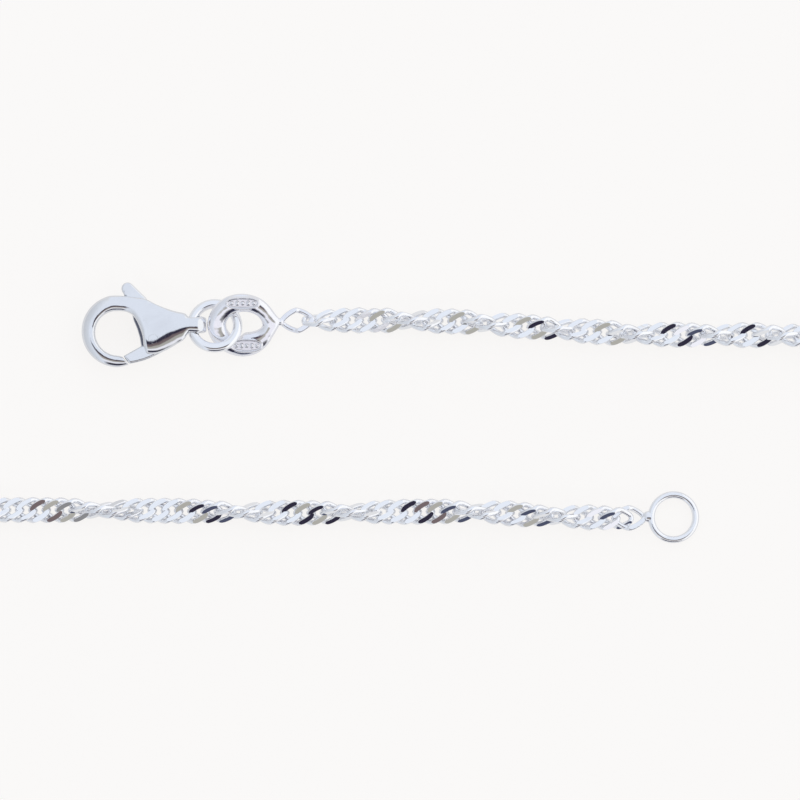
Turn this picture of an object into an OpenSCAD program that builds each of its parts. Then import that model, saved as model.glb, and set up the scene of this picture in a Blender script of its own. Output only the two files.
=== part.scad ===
// A twisted double curb neck chain, unclasped and lying on a surface. A lobster claw clasp and a
// jump ring are on one end, and a plain ring is on the other. Millimetres, +Z up, and the
// surface is at z = 0. The origin is the middle of the whole outline on that surface.

/* [Chain] */
// Width of the twisted chain across its widest face
chain_w = 2.0; // [1.6:0.1:2.6]
// Thickness of the wire that a link is bent from
link_wire = 0.34; // [0.24:0.01:0.4]
// Half of a link's length, measured to the middle of its wire
link_half_l = 1.2; // [1:0.05:1.4]
// Half of a link's width, measured to the middle of its wire
link_half_w = 0.8; // [0.6:0.05:0.95]
// Radius of the wide bend at the right
bend_r = 35; // [31:1:42]

/* [Clasp] */
// Length of the clasp from the hook's round end to the tail's end
clasp_len = 9.6; // [8.6:0.1:11]
// Thickness of the clasp's body where it is fullest
clasp_t = 2.2; // [2:0.05:2.8]
// Outer radius of the hook
hook_r = 2.77; // [2.5:0.01:3.1]
// Width of the tail along its eye
tail_w = 1.3; // [1:0.05:1.6]
// Wall of the tail above and below its eye
tail_wall = 0.26; // [0.25:0.01:0.45]
// Room for the jump ring in the tail's eye, on each side
eye_gap = 0.09; // [0.08:0.01:0.14]
// Thickness of the lever
lever_t = 0.85; // [0.7:0.05:1]
// Gap on each side of the lever in its slot
lever_gap = 0.06; // [0.03:0.01:0.12]
// Gap between the lever's gate and the hook's nose
gate_gap = 0.1; // [0.06:0.01:0.2]
// Radius of the thumb piece's round end
thumb_r = 0.48; // [0.4:0.02:0.6]
// Diameter of the pivot pin
pin_d = 0.7; // [0.5:0.05:0.8]
// Radial clearance of the lever on its pin
pin_gap = 0.04; // [0.02:0.01:0.08]

/* [Rings] */
// Outer diameter of the jump ring
jump_d = 4.26; // [3.9:0.02:4.6]
// Thickness of the jump ring's wire
jump_wire = 0.74; // [0.6:0.01:0.8]
// Outer diameter of the end ring
end_d = 4.0; // [3.4:0.05:5]
// Thickness of the end ring's wire
end_wire = 0.54; // [0.36:0.02:0.7]
// Angle that the end ring leans by, from the chain down to the surface
end_tilt = 8; // [4:1:12]
// Length of the soldered joint from the last link's wire to the end ring's wire
joint_l = 0.5; // [0.4:0.05:0.8]

/* [Tag] */
// Height of the oval tag across the chain
tag_h = 5.1; // [4.9:0.05:5.6]
// Thickness of the tag
tag_t = 0.95; // [0.7:0.05:1.1]
// Length of the tag's hole along the chain
tag_hole_l = 2.76; // [2.6:0.02:3.2]
// Width of the tag's hole across the chain
tag_hole_w = 2.24; // [2.1:0.02:2.5]
// Depth of the two flats for marks below the tag's crown
flat_depth = 0.08; // [0.03:0.01:0.15]

/* [Hidden] */

// Route of the chain: the strand from the clasp, then the strand that ends in the ring
TOP_STRAND = [[-6.5, 34.6], [-1, 34.6], [4.5, 34.5], [10, 34.1], [15.5, 33.7], [21, 33.5],
              [47.5, 33.4]];
LOW_STRAND = [[-54.2, 20], [-23, 20], [-8, 19.8], [5, 19.9], [10.5, 19.6], [16.2, 19.4]];

chain_z = chain_w / 2;
tube_sides = 8;
ring_step = 2.8 * chain_w;
piece_gap = 0.05;
link_tune = 1.5;
link_turn = 5;
link_sides = 6;
link_steps = 28;
ring_parts = 56;
ring_sides = 14;

// The clasp's own frame has its origin at the middle of the hook, u to the tail and v to the thumb
body_len = clasp_len - hook_r;
pin_fit = 0.01;
pin_l = 0.9 * clasp_t;
hub_r = pin_d / 2 + 0.43;
pivot = [0.403 * body_len, -0.217 * hook_r];
thumb = [0.097 * body_len, hook_r + thumb_r];
tail_mid = 0.15 * hook_r;
slot_end = pivot[0] + hub_r + 1.5 * lever_gap;
nose_angle = 284.5;
section_power = 2.5;
section_sides = 16;

// Hook: [angle, band width as a share of hook_r, thickness as a share of clasp_t]
HOOK = [[nose_angle, 0.29, 0.46], [270, 0.32, 0.53], [225, 0.35, 0.60], [180, 0.38, 0.66],
        [135, 0.41, 0.72], [100, 0.44, 0.77]];

// Body: [thumb side u, thumb side v, gate side u, gate side v, thickness], where u is a share
// of body_len, v of hook_r and the thickness of clasp_t
BODY = [[0.09, 0.98, 0.07, 0.55, 0.80], [0.18, 0.957, 0.146, 0.48, 0.86],
        [0.234, 0.94, 0.19, 0.343, 0.91], [0.281, 0.92, 0.234, 0.108, 0.95],
        [0.322, 0.88, 0.275, -0.162, 0.98], [0.36, 0.83, 0.296, -0.433, 1.0],
        [0.403, 0.773, 0.33, -0.614, 1.0], [0.451, 0.722, 0.403, -0.643, 0.99],
        [0.512, 0.664, 0.483, -0.6, 0.97], [0.586, 0.588, 0.571, -0.5, 0.94],
        [0.673, 0.513, 0.666, -0.361, 0.89], [0.75, 0.452, 0.745, -0.24, 0.85]];

// Lever and slot edges: [share of body_len, share of hook_r]
LEVER_FRONT = [[0.073, 0.993], [0.114, 0.859], [0.151, 0.657], [0.176, 0.469], [0.183, 0.325],
               [0.208, 0.072], [0.237, -0.217], [0.259, -0.415]];
LEVER_UNDER = [[0.22, -0.866], [0.293, -0.819], [0.381, -0.751], [0.469, -0.657]];
LEVER_BACK = [[0.41, 0.289], [0.344, 0.614], [0.3, 0.83], [0.281, 0.939], [0.22, 1.101]];
SLOT_FRONT = [[0.044, 1.4], [0.053, 1.011], [0.091, 0.866], [0.132, 0.65], [0.158, 0.451],
              [0.146, 0], [0.146, -1.1]];

// Tag's outline: [angle from the chain's direction, radius as a share of half of tag_h]
beak_share = 1.26;
TAG = [[0, 1.2], [5, beak_share], [12, 1.18], [20, 1.12], [32, 1.09], [50, 1.07], [70, 1.03],
       [90, 1.01], [125, 0.975], [150, 0.965], [180, 0.98], [235, 0.97], [270, 1.0],
       [300, 1.04], [322, 1.05], [338, 1.06], [350, 1.11], [360, 1.2]];
tag_steps = 48;
tag_sides = 12;
tag_power = 2;
side_band = 0.84;
beak_rise = 0.35;
hole_shift = 0.35;
ring_seat = 0.5;
flat_half = [0.26 * tag_h, 0.1 * tag_h];
flat_up = [0.02 * tag_h, 0.355 * tag_h];
flat_low = [0.07 * tag_h, -0.34 * tag_h];

// Jump ring and tag lean against each other, so that the ring passes under the tag's rim on the
// thumb side and over it on the gate side
pass_gap = 0.07;
pass_span = 0.6 * jump_d;
lean = 2 * atan((tag_t + jump_wire + 2 * pass_gap) / (2 * pass_span));
ring_lean = 0.42 * lean;
tag_lean = lean - ring_lean;
jump_mid = (jump_d - jump_wire) / 2;
tag_rest = (0.33 * tag_h + 0.17 * tag_hole_w) * sin(tag_lean) + tag_t / 2 * cos(tag_lean);
jump_rest = jump_mid * sin(ring_lean) + jump_wire / 2;
clasp_z = max(clasp_t / 2, tag_rest, jump_rest);

// Eye of the tail, with room for the wire of the leaning jump ring
eye_d = jump_wire + tail_w * sin(ring_lean) + 2 * eye_gap;
tail_t = eye_d + 2 * tail_wall;
eye_u = body_len - tail_t / 2 - tail_wall / 2;
eye_shift = 0.09;

// Places, worked out from the two ends of the chain
first_link = [TOP_STRAND[0][0] - piece_gap - link_wire / 2 - link_half_l, TOP_STRAND[0][1]];
tag_at = [first_link[0] - link_half_l - beak_share * tag_h / 2, first_link[1] - beak_rise];
hole_at = [tag_at[0] + hole_shift, tag_at[1]];
jump_at = [hole_at[0] - tag_hole_l / 2 + ring_seat + jump_wire / 2 - jump_mid,
           tag_at[1] - 0.06];
hook_at = [jump_at[0] - jump_mid + eye_shift - eye_u, jump_at[1] - tail_mid];

end_mid = (end_d - end_wire) / 2;
end_z = end_mid * sin(end_tilt) + end_wire / 2;
end_left_z = end_z + end_mid * sin(end_tilt);
chain_end = LOW_STRAND[len(LOW_STRAND) - 1];
last_link = [chain_end[0] + piece_gap + link_wire / 2 + link_half_l, chain_end[1]];
last_lean = asin((chain_z - end_left_z) / (2 * link_half_l));
solder_r = 0.3;
joint_r = (joint_l + 0.14) / 2;
joint_at = [last_link[0] + link_half_l + 0.6 * joint_l, last_link[1] + 0.06];
end_at = [last_link[0] + link_half_l + joint_l + end_mid, last_link[1] + 0.06];

// A point at a radius and an angle
function polar(r, a) = [r * cos(a), r * sin(a)];

// The value of a smooth curve through b and c, between their neighbours a and d
function blend4(a, b, c, d, t) =
    0.5 * (2 * b + (c - a) * t + (2 * a - 5 * b + 4 * c - d) * t * t
           + (3 * b - a - 3 * c + d) * t * t * t);

// Rows of a table with extra smooth rows between them
function smooth_rows(rows, parts) =
    let (n = len(rows))
    concat([for (i = [0:n - 2], k = [0:parts - 1])
        blend4(rows[max(i - 1, 0)], rows[i], rows[i + 1], rows[min(i + 2, n - 1)], k / parts)],
        [rows[n - 1]]);

// A rounded section that spans from one edge point to the other, h thick to each side
function section(o, i, h, sides, power) =
    [for (k = [0:sides - 1])
        let (a = 360 * k / sides,
             u = sign(cos(a)) * pow(abs(cos(a)), 2 / power),
             w = sign(sin(a)) * pow(abs(sin(a)), 2 / power),
             p = (o + i) / 2 + (o - i) / 2 * u)
        [p[0], p[1], h * w]];

// A solid through a row of sections, closed at both ends or joined end to start
module loft(rings, joined = false) {
    n = len(rings);
    m = len(rings[0]);
    last = joined ? n - 1 : n - 2;
    sides = [for (i = [0:last], k = [0:m - 1])
        let (j = (i + 1) % n, q = (k + 1) % m)
        [i * m + k, i * m + q, j * m + q, j * m + k]];
    caps = joined ? [] : [[for (k = [m - 1:-1:0]) k], [for (k = [0:m - 1]) (n - 1) * m + k]];
    halves = [for (f = sides) each [[f[0], f[1], f[2]], [f[0], f[2], f[3]]]];
    polyhedron(points = [for (r = rings) each r], faces = concat(halves, caps));
}

// A round wire's ring
module wire_ring(outer_d, wire) {
    rotate_extrude($fn = 96) translate([(outer_d - wire) / 2, 0]) circle(d = wire, $fn = 36);
}

// A round wire's ring of flat faces, for a ring that is soldered to faceted pieces
module faceted_ring(outer_d, wire) {
    mid = (outer_d - wire) / 2;
    loft([for (i = [0:ring_parts - 1])
        [for (k = [0:ring_sides - 1])
            let (b = 360 * k / ring_sides)
            [for (c = polar(mid + wire / 2 * cos(b), 360 * i / ring_parts)) c, wire / 2 * sin(b)]]],
         joined = true);
}

// A round drop of solder, lofted along x
module bead(r) {
    loft([for (b = [-80:20:80])
        [for (k = [0:ring_sides - 1])
            let (a = 360 * k / ring_sides)
            [r * sin(b), r * cos(b) * sin(a), r * cos(b) * cos(a)]]]);
}

// Points of a link's middle line, a rounded rhomb
function link_point(a) =
    [link_half_l * sign(cos(a)) * pow(abs(cos(a)), 2 / link_tune),
     link_half_w * sign(sin(a)) * pow(abs(sin(a)), 2 / link_tune)];

// One flat link of round wire
module link() {
    step = 360 / link_steps;
    loft([for (i = [0:link_steps - 1])
        let (a = (i + 0.5) * step,
             p = link_point(a),
             t = link_point(a + step / 2) - link_point(a - step / 2),
             out = [t[1], -t[0]] / norm(t))
        [for (k = [0:link_sides - 1])
            let (b = 360 * k / link_sides)
            [p[0] + out[0] * link_wire / 2 * cos(b), p[1] + out[1] * link_wire / 2 * cos(b),
             link_wire / 2 * sin(b)]]], joined = true);
}

// Points that divide a straight leg into even steps, without its last point
function leg(p, q) =
    let (n = max(1, round(norm(q - p) / ring_step)))
    [for (i = [0:n - 1]) p + (q - p) * i / n];

// Points that divide each leg of a strand
function strand(points) = [for (i = [0:len(points) - 2]) each leg(points[i], points[i + 1])];

// Points along a bend, without its last point
function bend(mid, r, a0, a1) =
    let (n = round(abs(a1 - a0) * PI / 180 * r / ring_step))
    [for (i = [0:n - 1]) mid + polar(r, a0 + (a1 - a0) * i / n)];

top_end = TOP_STRAND[len(TOP_STRAND) - 1];
low_start = LOW_STRAND[0];
back_y = top_end[1] - 2 * bend_r;
left_r = (low_start[1] - back_y) / 2;
ROUTE = concat(
    strand(TOP_STRAND),
    bend(top_end - [0, bend_r], bend_r, 90, -90),
    leg([top_end[0], back_y], [low_start[0], back_y]),
    bend(low_start - [0, left_r], left_r, -90, -270),
    strand(LOW_STRAND),
    [chain_end]);

// One round of the chain's tube, square to the route
function tube_ring(i) =
    let (n = len(ROUTE),
         t = ROUTE[min(i + 1, n - 1)] - ROUTE[max(i - 1, 0)],
         side = [t[1], -t[0]] / norm(t))
    [for (k = [0:tube_sides - 1])
        let (b = 360 * k / tube_sides)
        [ROUTE[i][0] + side[0] * chain_w / 2 * cos(b), ROUTE[i][1] + side[1] * chain_w / 2 * cos(b),
         chain_z + chain_w / 2 * sin(b)]];

// The chain's outer form from the first link to the last one
module chain() {
    color("silver") loft([for (i = [0:len(ROUTE) - 1]) tube_ring(i)]);
}

// Edge points of a table row, scaled to the clasp
function scaled(points) = [for (p = points) [p[0] * body_len, p[1] * hook_r]];

nose_mid = polar(hook_r * (1 - 0.145), nose_angle);
nose_reach = norm(nose_mid - pivot);
nose_turn = atan2(nose_mid[1] - pivot[1], nose_mid[0] - pivot[0]);
nose_half = asin(0.145 * hook_r / nose_reach);
gate_reach = nose_reach - gate_gap;

// Sections of the clasp's body, from the hook's nose round to the tail's end
function nose_section() =
    [section(pivot + polar(nose_reach, nose_turn - nose_half),
             pivot + polar(nose_reach, nose_turn + nose_half),
             0.43 * clasp_t / 2, section_sides, section_power)];
function hook_sections() =
    [for (a = [272:-11.5:96])
        let (band = lookup(a, [for (r = HOOK) [r[0], r[1]]]) * hook_r,
             thick = lookup(a, [for (r = HOOK) [r[0], r[2]]]) * clasp_t)
        section(polar(hook_r - band, a), polar(hook_r, a), thick / 2, section_sides, section_power)];
function body_sections() =
    [for (r = smooth_rows(BODY, 2))
        section([r[2] * body_len, r[3] * hook_r], [r[0] * body_len, r[1] * hook_r],
                r[4] * clasp_t / 2, section_sides, section_power)];
function tail_sections() =
    [for (b = [-18:18:72], b1 = [max(b, 0)])
        let (u = body_len - tail_t / 2 + (b < 0 ? -tail_t / 4 : tail_t / 2 * sin(b1)))
        section([u, tail_mid - tail_w / 2], [u, tail_mid + tail_w / 2],
                tail_t / 2 * cos(b1), section_sides, section_power + 0.5)];

module clasp_body() {
    color("silver") translate([hook_at[0], hook_at[1], clasp_z]) difference() {
        loft(concat(nose_section(), hook_sections(), body_sections(), tail_sections()));
        // Slot for the lever, open at the thumb, the hook's hole and the gate
        translate([0, 0, -lever_t / 2 - lever_gap]) linear_extrude(lever_t + 2 * lever_gap)
            polygon(concat(scaled(SLOT_FRONT),
                           [[slot_end, -1.1 * hook_r], [slot_end, 1.4 * hook_r]]));
        // Bore of the pin
        translate([pivot[0], pivot[1], -clasp_t])
            cylinder(d = pin_d + 2 * pin_fit, h = 2 * clasp_t, $fn = 48);
        // Eye that the jump ring passes through
        translate([eye_u, tail_mid + tail_w, 0]) rotate([90, 0, 0])
            cylinder(d = eye_d, h = 2 * tail_w, $fn = 48);
    }
}

// Outline of the lever: thumb piece, front edge, gate, under edge, hub and back edge
lever_outline = concat(
    [for (a = [20:20.5:225]) thumb + polar(thumb_r, a)],
    scaled(LEVER_FRONT),
    [for (a = [-1:0.5:1]) pivot + polar(gate_reach, nose_turn + a * nose_half)],
    scaled(LEVER_UNDER),
    [for (a = [-60:20:60]) pivot + polar(hub_r, a)],
    scaled(LEVER_BACK));

module clasp_lever() {
    color("silver") translate([hook_at[0], hook_at[1], clasp_z]) difference() {
        translate([0, 0, -lever_t / 2]) linear_extrude(lever_t) polygon(lever_outline);
        translate([pivot[0], pivot[1], -lever_t]) cylinder(d = pin_d + 2 * pin_gap, h = 2 * lever_t, $fn = 48);
    }
}

module clasp_pin() {
    color("gray") translate([hook_at[0] + pivot[0], hook_at[1] + pivot[1], clasp_z - pin_l / 2])
        cylinder(d = pin_d, h = pin_l, $fn = 48);
}

module jump_ring() {
    color("silver") translate([jump_at[0], jump_at[1], clasp_z]) rotate([-ring_lean, 0, 0])
        wire_ring(jump_d, jump_wire);
}

// Points of an oval
function oval(half, n) = [for (i = [0:n - 1]) [half[0] * cos(360 * i / n), half[1] * sin(360 * i / n)]];

// The tag with the first link soldered to its beak
module end_tag() {
    color("silver") {
        translate([tag_at[0], tag_at[1], clasp_z]) rotate([tag_lean, 0, 0]) difference() {
            loft([for (i = [0:tag_steps - 1])
                let (a = 360 * i / tag_steps,
                     o = polar(lookup(a, TAG) * tag_h / 2, a),
                     q = [hole_shift + tag_hole_l / 2 * cos(a), tag_hole_w / 2 * sin(a)],
                     h = tag_t / 2 * (side_band + (1 - side_band) * abs(sin(a))))
                section(o, q, h, tag_sides, tag_power)], joined = true);
            for (at = [flat_up, flat_low])
                translate([at[0], at[1], tag_t / 2 - flat_depth])
                    linear_extrude(tag_t) polygon(oval(flat_half, 32));
        }
        translate([first_link[0], first_link[1], clasp_z]) rotate([0, 0, link_turn]) {
            link();
            translate([-link_half_l - 0.3 * solder_r, 0, 0]) bead(solder_r);
        }
    }
}

// The end ring with the last link soldered to it
module end_ring() {
    color("silver") {
        translate([end_at[0], end_at[1], end_z]) rotate([0, end_tilt, 0]) faceted_ring(end_d, end_wire);
        translate([last_link[0], last_link[1], (chain_z + end_left_z) / 2]) rotate([0, last_lean, 0]) link();
        translate([joint_at[0], joint_at[1], end_left_z]) bead(joint_r);
    }
}

clasp_body();
clasp_lever();
clasp_pin();
jump_ring();
end_tag();
chain();
end_ring();
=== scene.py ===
"""The look of a twisted double curb neck chain with a lobster clasp, a tag and two rings.

Shapes are modelled in millimetres and put into metres when a piece is finished. Every piece
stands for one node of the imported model, in the same place and with the same main sizes.
"""

import bisect
import logging
import math
import random
from collections.abc import Callable
from dataclasses import dataclass
from enum import Enum

import bmesh
import bpy
from mathutils import Matrix, Vector


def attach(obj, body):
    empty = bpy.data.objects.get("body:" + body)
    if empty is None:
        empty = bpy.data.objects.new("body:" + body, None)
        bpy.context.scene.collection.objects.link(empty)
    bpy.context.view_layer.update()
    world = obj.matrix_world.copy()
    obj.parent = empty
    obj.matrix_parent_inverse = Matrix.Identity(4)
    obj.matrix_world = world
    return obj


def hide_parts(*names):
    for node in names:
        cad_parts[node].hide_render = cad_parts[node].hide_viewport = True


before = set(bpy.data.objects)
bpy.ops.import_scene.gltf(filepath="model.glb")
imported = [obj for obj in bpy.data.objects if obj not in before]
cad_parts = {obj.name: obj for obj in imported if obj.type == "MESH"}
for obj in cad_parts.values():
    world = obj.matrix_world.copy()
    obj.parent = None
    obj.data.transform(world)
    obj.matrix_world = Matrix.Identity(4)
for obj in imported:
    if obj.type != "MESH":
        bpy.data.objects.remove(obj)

LOG = logging.getLogger("chain")
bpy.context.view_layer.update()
METRES = 0.001
PHOTO_PIXELS = 800
PIXELS_PER_MM = 13.0
# Name of the vertex mask of painted shade, a dark colour put where hollows lie in shade.
PAINTED_SHADE_ATTRIBUTE = "shade_mask"
ROUND_SIDES = 64
RING_STEPS = 128
WIRE_SIDES = 32

Mesh = bmesh.types.BMesh
Row = tuple[float, ...]
Flat = tuple[float, float]
Socket = bpy.types.NodeSocket
Feed = float | Row | Socket


class Body(Enum):
    """The two bodies of the frame that pieces ride on."""

    NECKLACE = "necklace"
    LEVER = "lever"


class Slot(Enum):
    """The record's material slots."""

    CAST = "cast_silver"
    RING = "ring_silver"
    TAG = "tag_silver"
    CHAIN = "chain_silver"


class Tone(Enum):
    """Rolls in degrees at which a link's flats mirror one part of the room."""

    BLUE = 0.0
    NIGHT = 6.0
    MAROON = 11.2
    BEIGE = 16.5
    PALE = 23.5
    MIST = 27.3
    STONE = 29.0
    BLACK = 34.0
    SLATE = 42.0


def polar(radius: float, degrees: float) -> Vector:
    """A point of the plane at a radius and an angle."""
    turn = math.radians(degrees)
    return Vector((radius * math.cos(turn), radius * math.sin(turn)))


def arc(middle: Vector, radius: float, first: float, last: float, count: int) -> list[Vector]:
    """Spreads points evenly along an arc.

    Args:
        middle: Middle of its circle.
        radius: Radius of its circle.
        first: Angle of the first point.
        last: Angle of the last point.
        count: Number of points.

    Returns:
        The points.
    """
    step = (last - first) / (count - 1)
    return [middle + polar(radius, first + step * k) for k in range(count)]


def signed_power(value: float, power: float) -> float:
    """The value's size raised to a power, with its sign kept."""
    return math.copysign(abs(value) ** power, value)


def lookup(table: tuple[Row, ...], key: float, column: int) -> float:
    """Reads a table's column between its rows, which lie in order of the first column.

    Args:
        table: Rows whose first value rises.
        key: Place to read at.
        column: Column to read.

    Returns:
        The value at the key.
    """
    for low, high in zip(table, table[1:]):
        if key <= high[0]:
            share = (key - low[0]) / (high[0] - low[0])
            return low[column] + max(share, 0.0) * (high[column] - low[column])
    return table[-1][column]


def smooth_rows(rows: list[Row], parts: int, closed: bool = False) -> list[Row]:
    """Adds rows between rows, on smooth curves through all of them.

    Args:
        rows: Rows of equal length.
        parts: Number of steps from one row to the next.
        closed: True where the last row leads back to the first.

    Returns:
        The finer rows.
    """
    count = len(rows)
    finer: list[Row] = []
    for i in range(count if closed else count - 1):
        if closed:
            a, b, c, d = (rows[(i + k) % count] for k in (-1, 0, 1, 2))
        else:
            a, b, c, d = (rows[min(max(i + k, 0), count - 1)] for k in (-1, 0, 1, 2))
        for k in range(parts):
            t = k / parts
            finer.append(tuple(
                0.5 * (2 * q + (r - p) * t + (2 * p - 5 * q + 4 * r - s) * t * t
                       + (3 * q - p - 3 * r + s) * t ** 3)
                for p, q, r, s in zip(a, b, c, d)))
    if not closed:
        finer.append(rows[-1])
    return finer


def even_points(points: list[Vector], count: int) -> list[Vector]:
    """Spreads points evenly along a closed line.

    Args:
        points: Corners of the closed line.
        count: Number of points wanted.

    Returns:
        The evenly spread points.
    """
    steps = [(points[(i + 1) % len(points)] - p).length for i, p in enumerate(points)]
    gap = sum(steps) / count
    spread: list[Vector] = []
    walked = 0.0
    for i, step in enumerate(steps):
        while len(spread) < count and len(spread) * gap < walked + step:
            share = (len(spread) * gap - walked) / step
            spread.append(points[i].lerp(points[(i + 1) % len(points)], share))
        walked += step
    return spread


def oval_section(outer: Flat, inner: Flat, half: float, sides: int, power: float,
                 wall: float = 0.0, lean: float = 0.0) -> list[Vector]:
    """A rounded section that spans from one point of the plane to another.

    Args:
        outer: End of the section on one side.
        inner: End of the section on the other side.
        half: Half of its thickness.
        sides: Number of points.
        power: 2 for an ellipse, more for a boxier form.
        wall: Half of the height of its upright sides, between the two domes.
        lean: How far the crests of the domes lean to the inner side, below 0.5.

    Returns:
        The section's points in order.
    """
    middle = (Vector(outer) + Vector(inner)) / 2
    reach = (Vector(outer) - Vector(inner)) / 2
    points = []
    for k in range(sides):
        turn = math.tau * (k + 0.5) / sides
        along = signed_power(math.cos(turn), 2 / power) - lean * math.sin(turn) ** 2
        height = math.copysign(wall, math.sin(turn))
        height += (half - wall) * signed_power(math.sin(turn), 2 / power)
        points.append(Vector((*(middle + reach * along), height)))
    return points


def circle(bm: Mesh, sides: int, radius: float = 1.0) -> tuple[list, list]:
    """Adds a flat circle of points.

    Args:
        bm: Mesh to add to.
        sides: Number of points.
        radius: Radius of the circle.

    Returns:
        Its points and its edges.
    """
    verts = bmesh.ops.create_circle(bm, segments=sides, radius=radius)["verts"]
    return verts, list(dict.fromkeys(edge for vert in verts for edge in vert.link_edges))


def loft(bm: Mesh, rings: list[list[Vector]], closed: bool = False) -> None:
    """Adds a closed skin through a row of rings, which all have as many points.

    Args:
        bm: Mesh to add to.
        rings: Rings of points.
        closed: True where the last ring joins the first, False for capped ends.
    """
    loops = []
    for ring in rings:
        verts, edges = circle(bm, len(ring))
        for vert, place in zip(verts, ring):
            vert.co = place
        loops.append(edges)
    for near, far in zip(loops, loops[1:]):
        bmesh.ops.bridge_loops(bm, edges=near + far)
    if closed:
        bmesh.ops.bridge_loops(bm, edges=loops[-1] + loops[0])
    else:
        for end in (loops[0], loops[-1]):
            bmesh.ops.contextual_create(bm, geom=end)
    bmesh.ops.recalc_face_normals(bm, faces=bm.faces)


def prism(bm: Mesh, outline: list[Vector], low: float, high: float) -> None:
    """Adds an upright solid over a flat outline.

    Args:
        bm: Mesh to add to.
        outline: Corners in the plane, in order.
        low: Height of its underside.
        high: Height of its top.
    """
    verts = bmesh.ops.create_circle(bm, segments=len(outline), radius=1.0, cap_ends=True)["verts"]
    for vert, corner in zip(verts, outline):
        vert.co = Vector((corner[0], corner[1], low))
    base = list({face for vert in verts for face in vert.link_faces})
    made = bmesh.ops.extrude_face_region(bm, geom=base, use_keep_orig=True)
    top = [item for item in made["geom"] if isinstance(item, bmesh.types.BMVert)]
    bmesh.ops.translate(bm, verts=top, vec=(0, 0, high - low))
    bmesh.ops.recalc_face_normals(bm, faces=bm.faces)


def wire_ring(bm: Mesh, outer: float, wire: float) -> None:
    """Adds a round wire's ring about the vertical axis.

    Args:
        bm: Mesh to add to.
        outer: Outer diameter of the ring.
        wire: Diameter of its wire.
    """
    verts, edges = circle(bm, WIRE_SIDES, wire / 2)
    bmesh.ops.rotate(bm, verts=verts, matrix=Matrix.Rotation(math.pi / 2, 3, "X"))
    bmesh.ops.translate(bm, verts=verts, vec=((outer - wire) / 2, 0, 0))
    bmesh.ops.spin(bm, geom=verts + edges, cent=(0, 0, 0), axis=(0, 0, 1), angle=math.tau,
                   steps=RING_STEPS, use_merge=True)
    bmesh.ops.remove_doubles(bm, verts=bm.verts, dist=wire / 1000)
    bmesh.ops.recalc_face_normals(bm, faces=bm.faces)


def baked(name: str, bm: Mesh) -> bpy.types.Mesh:
    """Writes a mesh that is still being shaped, and is used up, into a plain one.

    Args:
        name: Name of the plain mesh.
        bm: Mesh to write.

    Returns:
        The plain mesh.
    """
    mesh = bpy.data.meshes.new(name)
    bm.to_mesh(mesh)
    bm.free()
    return mesh


def shown(name: str, data: bpy.types.ID) -> bpy.types.Object:
    """Puts a mesh or a camera into the scene.

    Args:
        name: Name of the object.
        data: The mesh or the camera.

    Returns:
        The object.
    """
    piece = bpy.data.objects.new(name, data)
    bpy.context.scene.collection.objects.link(piece)
    return piece


def moved(bm: Mesh, matrix: Matrix) -> Mesh:
    """Moves a whole mesh and returns it."""
    bmesh.ops.transform(bm, matrix=matrix, verts=bm.verts)
    return bm


def join(target: Mesh, *others: Mesh) -> Mesh:
    """Adds other meshes to a mesh, and frees them.

    Args:
        target: Mesh that takes the others.
        others: Meshes to add.

    Returns:
        The target.
    """
    for other in others:
        mesh = baked("part", other)
        target.from_mesh(mesh)
        bpy.data.meshes.remove(mesh)
    return target


def ball(radius: float, place: Matrix, sides: int = 32, rings: int = 16) -> Mesh:
    """A ball that a matrix moves and squashes.

    Args:
        radius: Radius of the ball.
        place: The matrix.
        sides: Steps round it.
        rings: Steps from pole to pole.

    Returns:
        The ball's mesh.
    """
    bm = bmesh.new()
    bmesh.ops.create_uvsphere(bm, u_segments=sides, v_segments=rings, radius=radius)
    return moved(bm, place)


def rod(diameter: float, length: float) -> Mesh:
    """An upright cylinder about the origin.

    Args:
        diameter: Diameter of the cylinder.
        length: Its length.

    Returns:
        The cylinder's mesh.
    """
    bm = bmesh.new()
    bmesh.ops.create_cone(bm, cap_ends=True, segments=ROUND_SIDES, radius1=diameter / 2,
                          radius2=diameter / 2, depth=length)
    return bm


def painted_shade(bm: Mesh, depth: Callable[[Vector], float]) -> Mesh:
    """Notes for each vertex how much painted shade it gets: a dark colour put in hollows where
    shade falls.

    Args:
        bm: Mesh to mark.
        depth: Gives the strength of the painted shade at a place, from 0 to 1.

    Returns:
        The mesh.
    """
    layer = bm.verts.layers.float.get(PAINTED_SHADE_ATTRIBUTE) or bm.verts.layers.float.new(PAINTED_SHADE_ATTRIBUTE)
    for vert in bm.verts:
        vert[layer] = min(max(depth(vert.co), 0.0), 1.0)
    return bm


def soft_step(value: float, low: float, high: float) -> float:
    """A smooth step from 0 at a low value to 1 at a high one."""
    share = min(max((value - low) / (high - low), 0.0), 1.0)
    return share * share * (3 - 2 * share)


class Cut(Enum):
    """How one solid meets another."""

    AWAY = "DIFFERENCE"
    SHARED = "INTERSECT"
    BOTH = "UNION"


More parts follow.
